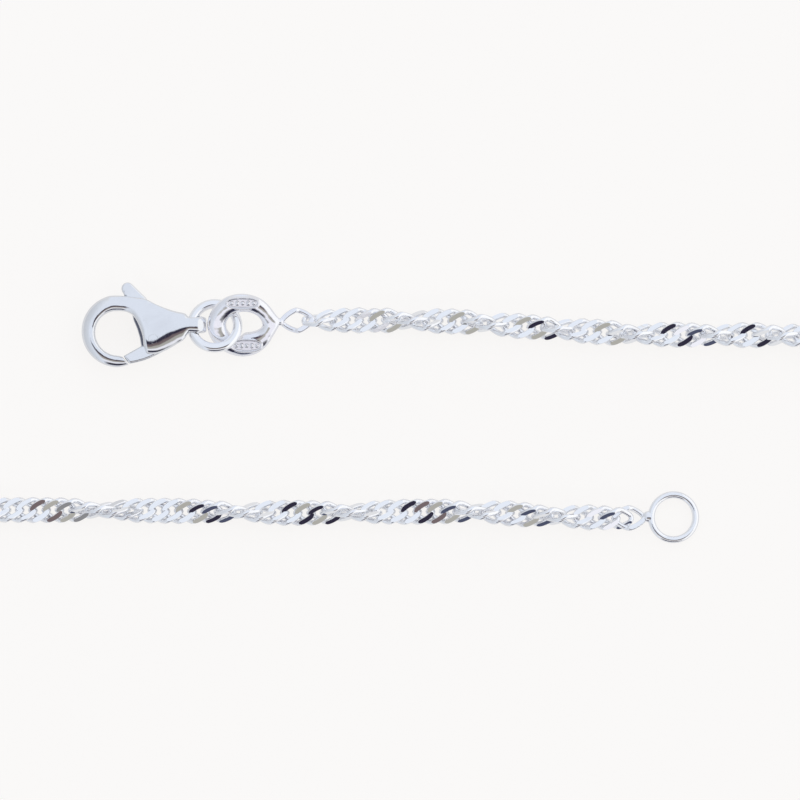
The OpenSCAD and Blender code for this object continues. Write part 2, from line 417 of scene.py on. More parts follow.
class Shaper:
    """Solid operations on meshes in millimetres, through modifiers on objects that don't stay."""

    @staticmethod
    def _object(bm: Mesh) -> bpy.types.Object:
        """Wraps a mesh in an object for a while."""
        return shown("work", baked("work", bm))

    @staticmethod
    def _evaluated(piece: bpy.types.Object) -> Mesh:
        """Takes an object's mesh with its modifiers, and removes the object.

        Args:
            piece: The object.

        Returns:
            The mesh, to shape further.
        """
        graph = bpy.context.evaluated_depsgraph_get()
        mesh = bpy.data.meshes.new_from_object(piece.evaluated_get(graph))
        bm = bmesh.new()
        bm.from_mesh(mesh)
        bpy.data.meshes.remove(mesh)
        bpy.data.objects.remove(piece)
        return bm

    def combine(self, base: Mesh, cut: Cut, *tools: Mesh) -> Mesh:
        """Cuts tools out of a solid, keeps what they share, or adds them to it.

        Args:
            base: Solid to work on, used up.
            cut: What happens with each tool.
            tools: Solids to work with, used up.

        Returns:
            The new solid.
        """
        piece = self._object(base)
        helpers = [self._object(tool) for tool in tools]
        for helper in helpers:
            change = piece.modifiers.new("cut", "BOOLEAN")
            change.operation = cut.value
            change.solver = "EXACT"
            change.object = helper
        made = self._evaluated(piece)
        for helper in helpers:
            bpy.data.objects.remove(helper)
        return made

    def fuse(self, bm: Mesh, grain: float, rounds: int) -> Mesh:
        """Melts shells that overlap into one skin with soft seams, as casting and solder do.

        Args:
            bm: Closed shells, used up.
            grain: Size of the new skin's faces.
            rounds: Rounds of smoothing.

        Returns:
            The new skin.
        """
        piece = self._object(bm)
        change = piece.modifiers.new("skin", "REMESH")
        change.mode = "VOXEL"
        change.voxel_size = grain
        made = self._evaluated(piece)
        for _ in range(rounds):
            bmesh.ops.smooth_vert(made, verts=made.verts, factor=0.5,
                                  use_axis_x=True, use_axis_y=True, use_axis_z=True)
        return made


@dataclass(frozen=True)
class Wiring:
    """Adds nodes to a shader tree and wires them.

    Args:
        tree: The tree.
    """

    tree: bpy.types.NodeTree

    def feed(self, node: bpy.types.Node, feeds: dict[str | int, Feed]) -> None:
        """Sets the inputs of a node.

        Args:
            node: The node.
            feeds: For each input its value, or the socket that leads into it.
        """
        for label, source in feeds.items():
            if isinstance(source, Socket):
                self.tree.links.new(source, node.inputs[label])
            else:
                node.inputs[label].default_value = source

    def add(self, kind: str, feeds: dict[str | int, Feed]) -> bpy.types.Node:
        """Adds a node and sets its inputs.

        Args:
            kind: Name of its type, after the common start.
            feeds: For each input its value, or the socket that leads into it.

        Returns:
            The node.
        """
        node = self.tree.nodes.new(f"ShaderNode{kind}")
        self.feed(node, feeds)
        return node

    def mix(self, share: Feed, first: Feed, second: Feed) -> Socket:
        """Mixes two colours.

        Args:
            share: Share of the second colour.
            first: The first colour.
            second: The second colour.

        Returns:
            The mixed colour.
        """
        node = self.tree.nodes.new("ShaderNodeMix")
        node.data_type = "RGBA"
        self.feed(node, {"Factor": share, "A": first, "B": second})
        return node.outputs["Result"]

    def spread(self, value: Feed, feeds: dict[str | int, Feed]) -> Socket:
        """Stretches a value to a new range.

        Args:
            value: The value.
            feeds: Ends of the old and the new range that aren't 0 and 1.

        Returns:
            The stretched value.
        """
        return self.add("MapRange", {"Value": value, **feeds}).outputs["Result"]

    def ramp(self, value: Feed, low: float, high: float,
             stops: tuple[tuple[float, Row], ...]) -> Socket:
        """Gives colours that follow a value.

        Args:
            value: The value.
            low: Its lowest value.
            high: Its highest value.
            stops: Values and their colours, in order.

        Returns:
            The colour.
        """
        whole = self.spread(value, {"From Min": low, "From Max": high})
        node = self.add("ValToRGB", {"Fac": whole})
        elements = node.color_ramp.elements
        for k, (at, colour) in enumerate(stops):
            share = (at - low) / (high - low)
            element = elements[k] if k < 2 else elements.new(share)
            element.position = share
            element.color = (*colour, 1.0)
        return node.outputs["Color"]


class Patterns:
    """Shader node groups that the silver finishes share."""

    @staticmethod
    def _group(name: str, inputs: dict[str, float], output: str, kind: str
               ) -> tuple[Wiring, bpy.types.NodeOutputs, bpy.types.Node]:
        """Starts a group with a place input, number inputs and one output.

        Args:
            name: Name of the group.
            inputs: Number inputs and their values at the start.
            output: Name of the output.
            kind: Socket type of the output.

        Returns:
            The group's wiring, the sockets of its inputs and its output node.
        """
        tree = bpy.data.node_groups.new(name, "ShaderNodeTree")
        tree.interface.new_socket("Place", in_out="INPUT", socket_type="NodeSocketVector")
        for label, value in inputs.items():
            socket = tree.interface.new_socket(label, in_out="INPUT",
                                               socket_type="NodeSocketFloat")
            socket.default_value = value
        tree.interface.new_socket(output, in_out="OUTPUT", socket_type=kind)
        start = tree.nodes.new("NodeGroupInput")
        return Wiring(tree), start.outputs, tree.nodes.new("NodeGroupOutput")

    @classmethod
    def polish_waves(cls) -> bpy.types.NodeTree:
        """Soft unevenness that hand polishing leaves, as a normal.

        Returns:
            The group.
        """
        wires, start, end = cls._group("polish_waves", {"Scale": 900.0, "Height": 0.002},
                                       "Normal", "NodeSocketVector")
        noise = wires.add("TexNoise", {"Vector": start["Place"], "Scale": start["Scale"],
                                       "Detail": 1.5})
        bump = wires.add("Bump", {"Strength": 1.0, "Height": noise.outputs["Fac"],
                                  "Distance": start["Height"]})
        wires.feed(end, {"Normal": bump.outputs["Normal"]})
        return wires.tree

    @classmethod
    def fine_scratches(cls) -> bpy.types.NodeTree:
        """Hairlines from wear, crossing each other, as a mask.

        Returns:
            The group.
        """
        wires, start, end = cls._group("fine_scratches", {"Scale": 4000.0}, "Mask",
                                       "NodeSocketFloat")
        both = wires.add("Math", {})
        both.operation = "MAXIMUM"
        for i, (turn, stretch) in enumerate(((0.5, (1.0, 14.0, 14.0)),
                                             (-1.1, (16.0, 1.0, 12.0)))):
            place = wires.add("Mapping", {"Vector": start["Place"], "Scale": stretch,
                                          "Rotation": (0.3, 0.2, turn)})
            noise = wires.add("TexNoise", {"Vector": place.outputs["Vector"],
                                           "Scale": start["Scale"], "Detail": 2.0})
            strokes = wires.spread(noise.outputs["Fac"], {"From Min": 0.58, "From Max": 0.72})
            wires.feed(both, {i: strokes})
        wires.feed(end, {"Mask": both.outputs["Value"]})
        return wires.tree

    @classmethod
    def tarnish(cls) -> bpy.types.NodeTree:
        """Clouds of faint tarnish, as a mask.

        Returns:
            The group.
        """
        wires, start, end = cls._group("tarnish", {"Scale": 700.0, "Cover": 0.5}, "Mask",
                                       "NodeSocketFloat")
        noise = wires.add("TexNoise", {"Vector": start["Place"], "Scale": start["Scale"],
                                       "Detail": 4.0, "Roughness": 0.6, "Distortion": 0.5})
        clouds = wires.spread(noise.outputs["Fac"], {"From Min": start["Cover"],
                                                     "From Max": 0.75})
        wires.feed(end, {"Mask": clouds})
        return wires.tree


@dataclass(frozen=True)
class SilverFinish:
    """One way that the silver is finished.

    Args:
        name: Name of the material.
        clean: Colour of the clean metal.
        shade: Colour where it is faintly tarnished.
        cover: Where the tarnish clouds start, from 0 to 1; a higher value gives fewer.
        smooth: Roughness of the clean metal.
        worn: Roughness in the hairlines.
        waves: Height of the polish waves in metres.
        wave_scale: Number of polish waves a metre.
        shade_colour: Painted shade colour, put in hollows where shade falls.
    """

    name: str
    clean: Row
    shade: Row
    cover: float
    smooth: float
    worn: float
    waves: float
    wave_scale: float = 900.0
    # Painted shade: a dark slate colour that stands in for shade in hollows.
    shade_colour: Row = (0.09, 0.095, 0.13)

    def material(self, groups: dict[str, bpy.types.NodeTree]) -> bpy.types.Material:
        """Makes the material.

        Args:
            groups: Shared node groups by name.

        Returns:
            The material.
        """
        made = bpy.data.materials.new(self.name)
        made.use_nodes = True
        wires = Wiring(made.node_tree)
        place = wires.add("TexCoord", {}).outputs["Object"]
        used = {}
        for label, values in (
                ("polish_waves", {"Scale": self.wave_scale, "Height": self.waves}),
                ("fine_scratches", {}),
                ("tarnish", {"Cover": self.cover})):
            node = wires.add("Group", {})
            node.node_tree = groups[label]
            wires.feed(node, {"Place": place, **values})
            used[label] = node.outputs[0]
        # Painted shade: the vertex mask mixes the metal towards the dark shade colour where a piece
        # lies in shade.
        shade_mask = wires.add("Attribute", {})
        shade_mask.attribute_name = PAINTED_SHADE_ATTRIBUTE
        metal = wires.mix(used["tarnish"], (*self.clean, 1.0), (*self.shade, 1.0))
        wires.feed(made.node_tree.nodes["Principled BSDF"], {
            "Metallic": 1.0,
            "Base Color": wires.mix(shade_mask.outputs["Fac"], metal, (*self.shade_colour, 1.0)),
            "Roughness": wires.spread(used["fine_scratches"],
                                      {"To Min": self.smooth, "To Max": self.worn}),
            "Normal": used["polish_waves"]})
        return made


class Finishes:
    """All the materials of the necklace."""

    def __init__(self) -> None:
        """Makes the shared groups and the materials."""
        groups = {"polish_waves": Patterns.polish_waves(),
                  "fine_scratches": Patterns.fine_scratches(),
                  "tarnish": Patterns.tarnish()}
        bright = (0.955, 0.96, 0.975)
        self.cast = SilverFinish(
            "polished_cast_silver", (0.87, 0.88, 0.90), (0.82, 0.825, 0.845),
            cover=0.5, smooth=0.07, worn=0.16, waves=0.00002).material(groups)
        self.ring = SilverFinish(
            "drawn_ring_silver", bright, (0.88, 0.88, 0.90),
            cover=0.55, smooth=0.06, worn=0.14, waves=0.000012).material(groups)
        self.tag = SilverFinish(
            "stamped_tag_silver", (0.94, 0.94, 0.97), (0.87, 0.87, 0.915), cover=0.45,
            smooth=0.09, worn=0.2, waves=0.00002, wave_scale=1500.0).material(groups)
        self.wire = SilverFinish(
            "link_wire_silver", bright, (0.85, 0.85, 0.88), cover=0.5,
            smooth=0.10, worn=0.22, waves=0.00001, wave_scale=2000.0).material(groups)
        self.facet = SilverFinish(
            "diamond_cut_silver", (0.97, 0.975, 0.985), (0.94, 0.94, 0.95), cover=0.6,
            smooth=0.03, worn=0.07, waves=0.000002, wave_scale=2500.0).material(groups)


@dataclass
class PieceMaker:
    """Turns shaped meshes into finished pieces of the scene.

    Args:
        finishes: The materials.
    """

    finishes: Finishes

    def finish(self, bm: Mesh, name: str, materials: list[bpy.types.Material],
               body: Body, node: str, sharp: float = 40.0) -> None:
        """Makes a piece from a mesh in millimetres.

        Args:
            bm: The piece's mesh, used up.
            name: Name of the piece.
            materials: Its materials in slot order.
            body: Body that it rides on.
            node: CAD node that it stands for.
            sharp: Angle in degrees from which an edge stays sharp, as a finish's border does.
        """
        moved(bm, Matrix.Scale(METRES, 4))
        bm.normal_update()
        for edge in bm.edges:
            edge.smooth = (edge.calc_face_angle(0.0) < math.radians(sharp)
                           and len({face.material_index for face in edge.link_faces}) == 1)
        mesh = baked(name, bm)
        for material in materials:
            mesh.materials.append(material)
        mesh.polygons.foreach_set("use_smooth", [True] * len(mesh.polygons))
        piece = shown(name, mesh)
        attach(piece, body.value)
        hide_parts(node)
        faces = sum(len(polygon.vertices) - 2 for polygon in mesh.polygons)
        LOG.info("%s: %d triangles for %s", name, faces, node)


@dataclass(frozen=True)
class Link:
    """One curb link of round wire, a rounded rhomb whose arms lie in two layers.

    Args:
        half_length: Half of its length, to the middle of the wire.
        half_width: Half of its width, to the middle of the wire.
        wire: Diameter of the wire.
        layer: Height of an upper arm above the link's middle plane.
        cut: Height of the flat cut above the middle of an upper arm.
        power: Roundness of the rhomb, where 2 is an ellipse.
        step: Steepness of the steps between the layers.
        stations: Sections along the wire.
        sides: Sides of the wire.
        trace: Points that the rhomb is traced with, before the sections are spread on it.
    """

    half_length: float = 1.2
    half_width: float = 0.8
    wire: float = 0.42
    layer: float = 0.18
    cut: float = 0.12
    power: float = 1.4
    step: float = 3.0
    stations: int = 44
    sides: int = 16
    trace: int = 360

    def middle(self) -> list[Vector]:
        """The middle line of the wire.

        Returns:
            Points spread evenly round the link.
        """
        fine = []
        for k in range(self.trace):
            turn = math.tau * (k + 0.5) / self.trace
            fine.append(Vector((
                self.half_length * signed_power(math.cos(turn), 2 / self.power),
                self.half_width * signed_power(math.sin(turn), 2 / self.power))).to_3d())
        points = even_points(fine, self.stations)
        for point in points:
            turn = math.atan2(point.y / self.half_width, point.x / self.half_length)
            point.z = -self.layer * math.tanh(self.step * math.sin(2 * turn)) / math.tanh(self.step)
        return points

    def build(self, lean: float = 0.0) -> Mesh:
        """Bends the wire and cuts the flats.

        Args:
            lean: Degrees that the flats lean by across the link.

        Returns:
            The link's mesh, with the flats on the second material.
        """
        bm = bmesh.new()
        points = self.middle()
        rings = []
        for i, point in enumerate(points):
            along = (points[(i + 1) % len(points)] - points[i - 1]).normalized()
            out = along.cross(Vector((0, 0, 1))).normalized()
            up = out.cross(along)
            rings.append([
                point + (out * math.cos(turn) + up * math.sin(turn)) * self.wire / 2
                for turn in (math.tau * (k + 0.5) / self.sides for k in range(self.sides))])
        loft(bm, rings, closed=True)
        height = self.layer + self.cut
        for side in (1, -1):
            normal = Matrix.Rotation(math.radians(lean), 3, "X") @ Vector((0, 0, side))
            self._flat(bm, Vector((0, 0, side * height)), normal)
        return bm

    def _flat(self, bm: Mesh, place: Vector, normal: Vector) -> None:
        """Cuts all that stands above a plane off flat.

        Args:
            bm: The link's mesh.
            place: A point of the plane.
            normal: The way that the plane faces.
        """
        bmesh.ops.bisect_plane(bm, geom=bm.verts[:] + bm.edges[:] + bm.faces[:], dist=1e-5,
                               plane_co=place, plane_no=normal, clear_outer=True)
        open_edges = [edge for edge in bm.edges if edge.is_boundary]
        for face in bmesh.ops.holes_fill(bm, edges=open_edges, sides=0)["faces"]:
            face.material_index = 1
        bmesh.ops.recalc_face_normals(bm, faces=bm.faces)


@dataclass
class Layout:
    """Main sizes and places of the frame, in millimetres, as the part's source has them.

    Args:
        eye_gap: Room for the jump ring in the tail's eye, on each side.
        eye_shift: How far the ring's wire lies past the middle of the eye.
        tail_rise: Middle of the tail, as a share of the hook's radius.
        ring_seat: Gap between the ring's wire and the near end of the tag's hole.
        ring_drop: How far the ring's middle lies below the tag's middle in the picture.
        pass_gap: Gap that the leaning ring and tag leave where they pass each other.
        pass_share: Distance of those places from the middle, as a share of the ring.
        lean_share: The ring's share of the whole lean.
        rest_shares: Shares of the tag's height and of its hole's width that reach down to the
            tag's lowest place.
        hole_shift: How far the tag's hole lies towards the chain.
        beak_share: Reach of the tag's beak, as a share of half of the tag's height.
        beak_rise: How far the beak lies above the tag's middle in the picture.
        end_tilt: Degrees that the end ring leans by, down to the surface.
        end_rise: How far the end ring's middle lies above the last link's in the picture.
        joint_l: Length of the soldered joint from the last link to the end ring.
        joint_share: Place of the joint's bead along that length.
        piece_gap: Gap between the chain and each soldered link.
        source_wire: Wire of the soldered links in the part's source, which sets their places.
        bend_r: Radius of the wide bend on the right.
        soldered: Form of the two soldered links.
    """

    hook_r: float = 2.77
    clasp_len: float = 9.6
    clasp_t: float = 2.2
    tail_w: float = 1.3
    tail_wall: float = 0.26
    tail_rise: float = 0.15
    eye_gap: float = 0.09
    eye_shift: float = 0.09
    jump_d: float = 4.26
    jump_wire: float = 0.74
    ring_seat: float = 0.5
    ring_drop: float = 0.06
    pass_gap: float = 0.07
    pass_share: float = 0.6
    lean_share: float = 0.42
    rest_shares: Flat = (0.33, 0.17)
    tag_h: float = 5.1
    tag_t: float = 0.95
    tag_hole: Flat = (2.76, 2.24)
    hole_shift: float = 0.35
    beak_share: float = 1.26
    beak_rise: float = 0.35
    end_d: float = 4.0
    end_wire: float = 0.54
    end_tilt: float = 8.0
    end_rise: float = 0.06
    joint_l: float = 0.5
    joint_share: float = 0.6
    piece_gap: float = 0.05
    source_wire: float = 0.34
    chain_z: float = 1.0
    top_strand: tuple[Flat, ...] = ((-6.5, 34.6), (-1, 34.6), (4.5, 34.5), (10, 34.1),
                                    (15.5, 33.7), (21, 33.5), (47.5, 33.4))
    low_strand: tuple[Flat, ...] = ((-54.2, 20), (-23, 20), (-8, 19.8), (5, 19.9), (10.5, 19.6),
                                    (16.2, 19.4))
    bend_r: float = 35.0
    soldered: Link = Link(layer=0.13, cut=0.09, power=1.35, stations=48)

    def __post_init__(self) -> None:
        """Works out the places from the sizes."""
        reach = self.soldered.half_length
        step = self.piece_gap + self.source_wire / 2 + reach
        self.first_link = Vector((self.top_strand[0][0] - step, self.top_strand[0][1]))
        self.last_link = Vector(self.low_strand[-1]) + Vector((step, 0))
        self.tag_at = self.first_link - Vector((reach + self.beak_share * self.tag_h / 2,
                                                self.beak_rise))
        half_ring = (self.jump_d - self.jump_wire) / 2
        hole_x = self.tag_at.x + self.hole_shift - self.tag_hole[0] / 2
        self.jump_at = Vector((hole_x + self.ring_seat + self.jump_wire / 2 - half_ring,
                               self.tag_at.y - self.ring_drop))
        lean = 2 * math.atan((self.tag_t + self.jump_wire + 2 * self.pass_gap)
                             / (2 * self.pass_share * self.jump_d))
        self.ring_lean = self.lean_share * lean
        self.tag_lean = lean - self.ring_lean
        self.eye_d = self.jump_wire + self.tail_w * math.sin(self.ring_lean) + 2 * self.eye_gap
        self.tail_t = self.eye_d + 2 * self.tail_wall
        self.body_len = self.clasp_len - self.hook_r
        self.tail_mid = self.tail_rise * self.hook_r
        self.eye_u = self.body_len - self.tail_t / 2 - self.tail_wall / 2
        self.hook_at = Vector((self.jump_at.x - half_ring + self.eye_shift - self.eye_u,
                               self.jump_at.y - self.tail_mid))
        reach_down = (self.rest_shares[0] * self.tag_h + self.rest_shares[1] * self.tag_hole[1])
        rest = reach_down * math.sin(self.tag_lean) + self.tag_t / 2 * math.cos(self.tag_lean)
        self.clasp_z = max(self.clasp_t / 2, rest)
        end_half = (self.end_d - self.end_wire) / 2
        lift = end_half * math.sin(math.radians(self.end_tilt))
        self.end_z = lift + self.end_wire / 2
        self.end_left_z = self.end_z + lift
        self.end_at = self.last_link + Vector((reach + self.joint_l + end_half, self.end_rise))
        self.joint_at = self.last_link + Vector((reach + self.joint_share * self.joint_l,
                                                 self.end_rise))


@dataclass
class LobsterClasp:
    """The lobster clasp: its body, the lever in its slot and the pin that the lever turns on.

    Args:
        layout: Shared sizes and places.
        shaper: Solid operations.
        grain: Size of the cast body's faces.
        lever_grain: Size of the lever's faces.
        lever_t: Thickness of the lever.
        lever_gap: Gap on each side of the lever in its slot.
        lever_rim: Width of the lever's rounded rims.
        gate_gap: Gap between the gate and the hook's nose.
        thumb_r: Radius of the thumb piece's round end.
        thumb_at: Its middle, as a share of the body's length and as room above the hook.
        pin_d: Diameter of the pin.
        pin_fit: How much wider the body's bore is.
        pin_play: How much wider the lever's bore is.
        hub_wall: Wall of the lever's hub round the pin.
        pivot_at: The pin's place.
        thumb_arc: First and last angle of the thumb piece's round end.
        hub_arc: First and last angle of the hub's free side.
        nose_angle: Angle of the hook's nose.
        nose_share: Half of the nose's width, as a share of the hook's radius.
        nose_end: Thickness share, upright wall and lean of the nose's last section.
        hook_turns: Angle of the hook's first section, step to the next one, and number.
        tail_turns: Angles of the sections of the tail's rounded end.
        tail_sides: Shares of the tail's width below and above its middle.
        tail_taper: How much narrower the tail's end is.
        tail_box: How much boxier the tail's sections are.
        tail_wall: Upright wall of the tail's sections.
        sides: Points of a section.
        power: Boxiness of a section, where 2 is an ellipse.
        wall: Upright wall of the body's sections.
        shade_fade: Width over which the painted shade in the slot fades out.
        shade_past: How far it reaches past the slot's ends.
        slot_shade: Strength of the painted shade in the slot.
        lever_shade: Strength of the painted shade on the lever's hidden part.
        front_fade: Distances behind the lever's front edge where its painted shade starts and is
            full.
        gate_fade: The same up from the gate, as shares of the hook's radius.
        thumb_fade: Share where its painted shade ends below the thumb piece, and width of its fade.
        hook: Sections by angle: band share, thickness share, upright wall and lean.
        body: Sections: place of the thumb side and of the gate side, thickness share and lean.
        lever_front: Edge of the lever towards the hook.
        lever_under: Edge of the gate's underside, up to the hub.
        lever_back: Edge of the thumb piece away from the hook.
        slot_front: Edge of the body's slot towards the hook.

    Places and edges are shares of the body's length along it, and of the hook's radius across.
    """

    layout: Layout
    shaper: Shaper
    grain: float = 0.039
    lever_grain: float = 0.03
    lever_t: float = 0.85
    lever_gap: float = 0.06
    lever_rim: float = 0.26
    gate_gap: float = 0.1
    thumb_r: float = 0.48
    thumb_at: Flat = (0.112, 0.02)
    pin_d: float = 0.7
    pin_fit: float = 0.02
    pin_play: float = 0.08
    hub_wall: float = 0.43
    pivot_at: Flat = (0.403, -0.217)
    thumb_arc: Flat = (45, 225)
    hub_arc: Flat = (-60, 60)
    nose_angle: float = 284.5
    nose_share: float = 0.145
    nose_end: Row = (0.43, 0.1, -0.3)
    hook_turns: tuple[float, float, int] = (272, 11.5, 16)
    tail_turns: Row = (0, 18, 36, 54, 72, 84)
    tail_sides: Flat = (0.48, 0.59)
    tail_taper: float = 0.32
    tail_box: float = 0.6
    tail_wall: float = 0.1
    sides: int = 48
    power: float = 2.1
    wall: float = 0.45
    shade_fade: float = 0.06
    shade_past: float = 0.05
    slot_shade: float = 0.9
    lever_shade: float = 0.95
    front_fade: Flat = (0.03, 0.1)
    gate_fade: Flat = (-0.46, -0.38)
    thumb_fade: Flat = (0.62, 0.12)
    hook: tuple[Row, ...] = (
        (100, 0.44, 0.77, 0.36, 0.2), (135, 0.41, 0.72, 0.24, 0.36), (180, 0.38, 0.66, 0.16, 0.4),
        (225, 0.35, 0.60, 0.13, 0.4), (270, 0.32, 0.53, 0.11, 0.36), (284.5, 0.29, 0.46, 0.1, 0.3))
    body: tuple[Row, ...] = (
        (0.09, 0.98, 0.07, 0.55, 0.80, 0.22), (0.18, 0.957, 0.15, 0.475, 0.86, 0.24),
        (0.234, 0.94, 0.2, 0.337, 0.91, 0.27), (0.281, 0.92, 0.246, 0.104, 0.95, 0.3),
        (0.322, 0.895, 0.28, -0.162, 0.98, 0.34), (0.36, 0.85, 0.294, -0.433, 1.0, 0.35),
        (0.403, 0.793, 0.33, -0.614, 1.0, 0.33), (0.451, 0.735, 0.403, -0.643, 0.99, 0.24),
        (0.512, 0.672, 0.483, -0.6, 0.97, 0.1), (0.586, 0.6, 0.571, -0.5, 0.94, -0.04),
        (0.673, 0.54, 0.666, -0.361, 0.89, -0.12), (0.75, 0.5, 0.745, -0.24, 0.85, -0.14))
    lever_front: tuple[Flat, ...] = ((0.073, 0.993), (0.114, 0.859), (0.146, 0.657),
                                     (0.166, 0.436), (0.176, 0.314), (0.218, 0.064),
                                     (0.248, -0.183), (0.264, -0.415))
    lever_under: tuple[Flat, ...] = ((0.22, -0.866), (0.293, -0.819), (0.381, -0.735),
                                     (0.45, -0.65), (0.512, -0.57))
    lever_back: tuple[Flat, ...] = ((0.42, 0.289), (0.37, 0.6), (0.345, 0.8), (0.318, 0.93),
                                    (0.273, 1.035), (0.228, 1.145))
    slot_front: tuple[Flat, ...] = ((0.044, 1.4), (0.053, 1.011), (0.091, 0.866), (0.132, 0.65),
                                    (0.158, 0.451), (0.146, 0), (0.146, -1.1))

    def __post_init__(self) -> None:
        """Works out the pivot, the gate and the thumb piece."""
        size = self.layout
        self.place = Matrix.Translation((*size.hook_at, size.clasp_z))
        self.hub_r = self.pin_d / 2 + self.hub_wall
        self.pivot = self._scaled((self.pivot_at,))[0]
        self.thumb = Vector((self.thumb_at[0] * size.body_len,
                             size.hook_r + self.thumb_r + self.thumb_at[1]))
        self.slot_end = self.pivot.x + self.hub_r + 1.5 * self.lever_gap
        nose = polar(size.hook_r * (1 - self.nose_share), self.nose_angle) - self.pivot
        self.nose_reach = nose.length
        self.nose_turn = math.degrees(math.atan2(nose.y, nose.x))
        self.nose_half = math.degrees(math.asin(self.nose_share * size.hook_r / nose.length))

    def _scaled(self, points: tuple[Flat, ...]) -> list[Vector]:
        """Edge points of a table, scaled to the clasp."""
        size = self.layout
        return [Vector((u * size.body_len, v * size.hook_r)) for u, v in points]

    def _front_at(self, table: tuple[Flat, ...], y: float) -> float:
        """How far along the clasp a front edge lies at a place across it."""
        size = self.layout
        return size.body_len * lookup(tuple((v, u) for u, v in reversed(table)),
                                      y / size.hook_r, 1)

    def _tail_row(self, turn: float, back: float) -> Row:
        """One section of the tail.

        Args:
            turn: Angle round the tail's rounded end.
            back: How far the section lies before that end begins.

        Returns:
            The section's row.
        """
        size = self.layout
        half = size.tail_t / 2
        bend = math.radians(turn)
        u = size.body_len - half + (half * math.sin(bend) - back)
        width = size.tail_w * (1 - self.tail_taper * (1 - math.cos(bend)))
        low, high = (share * width for share in self.tail_sides)
        return (u, size.tail_mid - low, u, size.tail_mid + high, half * math.cos(bend),
                self.power + self.tail_box, self.tail_wall * math.cos(bend), 0.0)

    def _outer_form(self) -> Mesh:
        """The body's form before its slot, eye and bore.

        Returns:
            A closed mesh in the clasp's own frame.
        """
        size = self.layout
        length, radius, thick = size.body_len, size.hook_r, size.clasp_t
        tips = [self.pivot + polar(self.nose_reach, self.nose_turn + side * self.nose_half)
                for side in (-1, 1)]
        share, wall, lean = self.nose_end
        rows: list[Row] = [(*tips[0], *tips[1], share * thick / 2, self.power, wall, lean)]
        first, step, count = self.hook_turns
        for k in range(count):
            angle = first - step * k
            band, share, wall, lean = (lookup(self.hook, angle, column) for column in range(1, 5))
            rows.append((*polar(radius * (1 - band), angle), *polar(radius, angle),
                         share * thick / 2, self.power, wall, -lean))
        for u0, v0, u1, v1, share, lean in self.body:
            rows.append((u1 * length, v1 * radius, u0 * length, v0 * radius,
                         share * thick / 2, self.power, self.wall, -lean))
        rows.append(self._tail_row(0, size.tail_t / 4))
        rows += [self._tail_row(turn, 0) for turn in self.tail_turns]
        bm = bmesh.new()
        loft(bm, [oval_section(row[0:2], row[2:4], row[4], self.sides, *row[5:])
                  for row in smooth_rows(rows, 4)])
        return bm

    def _pin_form(self, diameter: float) -> Mesh:
        """A long cylinder on the pivot."""
        return moved(rod(diameter, 2 * self.layout.clasp_t), Matrix.Translation((*self.pivot, 0)))

    def build_body(self) -> Mesh:
        """The cast body with its slot, its eye and the bore of its pin.

        Returns:
            The body's mesh.
        """
        size = self.layout
        half_slot = self.lever_t / 2 + self.lever_gap
        outline = [Vector(row) for row in smooth_rows([tuple(p) for p in self._scaled(
            self.slot_front)], 3)]
        outline += [Vector((self.slot_end, self.slot_front[end][1] * size.hook_r))
                    for end in (-1, 0)]
        slot = bmesh.new()
        prism(slot, outline, -half_slot, half_slot)
        eye = moved(rod(size.eye_d, 4 * size.tail_w), Matrix.Rotation(math.pi / 2, 4, "X"))
        moved(eye, Matrix.Translation((size.eye_u, size.tail_mid, 0)))
        rough = self.shaper.combine(self._outer_form(), Cut.AWAY, slot, eye)
        cast = self.shaper.fuse(rough, self.grain, 4)
        bored = self.shaper.combine(cast, Cut.AWAY, self._pin_form(self.pin_d + self.pin_fit))

        def depth(co: Vector) -> float:
            """How much painted shade a place in the slot gets.

            Args:
                co: The place.

            Returns:
                The painted shade's strength, from 0 to 1.
            """
            fade, past = self.shade_fade, self.shade_past
            return (self.slot_shade * soft_step(half_slot + fade / 2 - abs(co.z), 0.0, fade)
                    * soft_step(self.slot_end + past - co.x, 0.0, fade)
                    * soft_step(co.x - self._front_at(self.slot_front, co.y), -past, past))

        # Paints shade into the slot.
        return moved(painted_shade(bored, depth), self.place)

    def build_pin(self) -> Mesh:
        """The pin, whose ends are polished flush with the cheeks.

        Returns:
            The pin's mesh.
        """
        pin = self.shaper.combine(self._pin_form(self.pin_d), Cut.SHARED, self._outer_form())
        return moved(moved(pin, Matrix.Scale(0.99, 4, (0, 0, 1))), self.place)

    def build_lever(self) -> Mesh:
        """The lever: thumb piece, gate and the hub on the pin.

        Returns:
            The lever's mesh.
        """
        gate_reach = self.nose_reach - self.gate_gap
        outline = arc(self.thumb, self.thumb_r, *self.thumb_arc, 11)
        outline += self._scaled(self.lever_front)
        outline += [self.pivot + polar(gate_reach, self.nose_turn + k / 2 * self.nose_half)
                    for k in (-2, -1, 0, 1, 2)]
        outline += self._scaled(self.lever_under)
        outline += arc(self.pivot, self.hub_r, *self.hub_arc, 7)
        outline += self._scaled(self.lever_back)
        bm = bmesh.new()
        prism(bm, outline, -self.lever_t / 2, self.lever_t / 2)
        rims = [edge for edge in bm.edges
                if abs(edge.verts[0].co.z - edge.verts[1].co.z) < 1e-6]
        bmesh.ops.bevel(bm, geom=rims, offset=self.lever_rim, offset_type="OFFSET", segments=5,
                        profile=0.5, affect="EDGES", clamp_overlap=True, material=-1)
        soft = self.shaper.fuse(bm, self.lever_grain, 5)
        bored = self.shaper.combine(soft, Cut.AWAY, self._pin_form(self.pin_d + self.pin_play))

        def depth(co: Vector) -> float:
            """How much painted shade a place of the lever gets inside the body, away from its open
            ends.

            Args:
                co: The place.

            Returns:
                The painted shade's strength, from 0 to 1.
            """
            behind = co.x - self._front_at(self.lever_front, co.y)
            across = co.y / self.layout.hook_r
            top, fade = self.thumb_fade
            return (self.lever_shade * soft_step(behind, *self.front_fade)
                    * soft_step(across, *self.gate_fade) * soft_step(top - across, 0.0, fade))

        # Paints shade on the lever's part inside the body.
        return moved(painted_shade(bored, depth), self.place)

